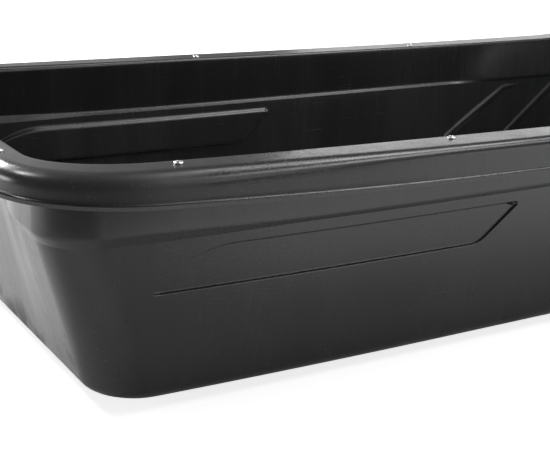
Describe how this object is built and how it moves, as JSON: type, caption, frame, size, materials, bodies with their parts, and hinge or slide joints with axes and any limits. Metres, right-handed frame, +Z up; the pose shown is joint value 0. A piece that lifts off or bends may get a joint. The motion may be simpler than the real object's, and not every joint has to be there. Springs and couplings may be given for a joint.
{
  "type": "snowmobile cargo sled",
  "caption": "Tow-behind cargo sled: deep black plastic tub with a riveted rolled rim over a steel tube, runner strips beneath, and a hinged tow bar with a swivelling eye.",
  "frame": {"origin": "on the ground under the middle runner strip, midway between the sides and midway along the tub", "axes": "+X forward towards the tow eye, +Y to the left, +Z up"},
  "size_m": [2.5372, 0.847, 0.3587],
  "materials": {
    "tub": "satin",
    "strip": "matte",
    "tube": "galvanised",
    "rivet": "bright",
    "bolt": "zinc plated",
    "painted": "satin black",
    "eye": "forged"
  },
  "bodies": {
    "sled": {"tub": "tub", "frame_tube_left": "tube", "frame_tube_right": "tube", "splice_plug_front": "tube", "splice_plug_rear": "tube", "rivet_01": "rivet", "rivet_02": "rivet", "rivet_03": "rivet", "rivet_04": "rivet", "rivet_05": "rivet", "rivet_06": "rivet", "rivet_07": "rivet", "rivet_08": "rivet", "rivet_09": "rivet", "rivet_10": "rivet", "rivet_11": "rivet", "rivet_12": "rivet", "runner_strip_1": "strip", "runner_strip_2": "strip", "runner_strip_3": "strip", "strip_bolt_1_rear": "bolt", "strip_bolt_1_front": "bolt", "strip_bolt_2_rear": "bolt", "strip_bolt_2_front": "bolt", "strip_bolt_3_rear": "bolt", "strip_bolt_3_front": "bolt", "strip_nut_1_rear": "bolt", "strip_nut_1_front": "bolt", "strip_nut_2_rear": "bolt", "strip_nut_2_front": "bolt", "strip_nut_3_rear": "bolt", "strip_nut_3_front": "bolt", "tow_bracket_left": "painted", "tow_bracket_right": "painted", "bracket_bolt_left_1": "bolt", "bracket_bolt_left_2": "bolt", "bracket_bolt_right_1": "bolt", "bracket_bolt_right_2": "bolt", "bracket_nut_left_1": "bolt", "bracket_nut_left_2": "bolt", "bracket_nut_right_1": "bolt", "bracket_nut_right_2": "bolt", "hinge_pin_left": "bolt", "hinge_pin_right": "bolt", "pin_clip_left": "bolt", "pin_clip_right": "bolt"},
    "tow_bar": {"tow_bar": "painted"},
    "tow_eye": {"tow_eye": "eye", "tow_eye_nut": "eye"}
  },
  "joints": [
    {"name": "tow_bar_hinge", "type": "hinge", "parent": "sled", "child": "tow_bar", "pos_m": [0.71195, 0, 0.15371], "axis": [0, -1, 0], "range_deg": [0, 36]},
    {"name": "tow_eye_swivel", "type": "hinge", "parent": "tow_bar", "child": "tow_eye", "pos_m": [1.5, 0, 0.15371], "axis": [1, 0, 0], "continuous": true}
  ]
}
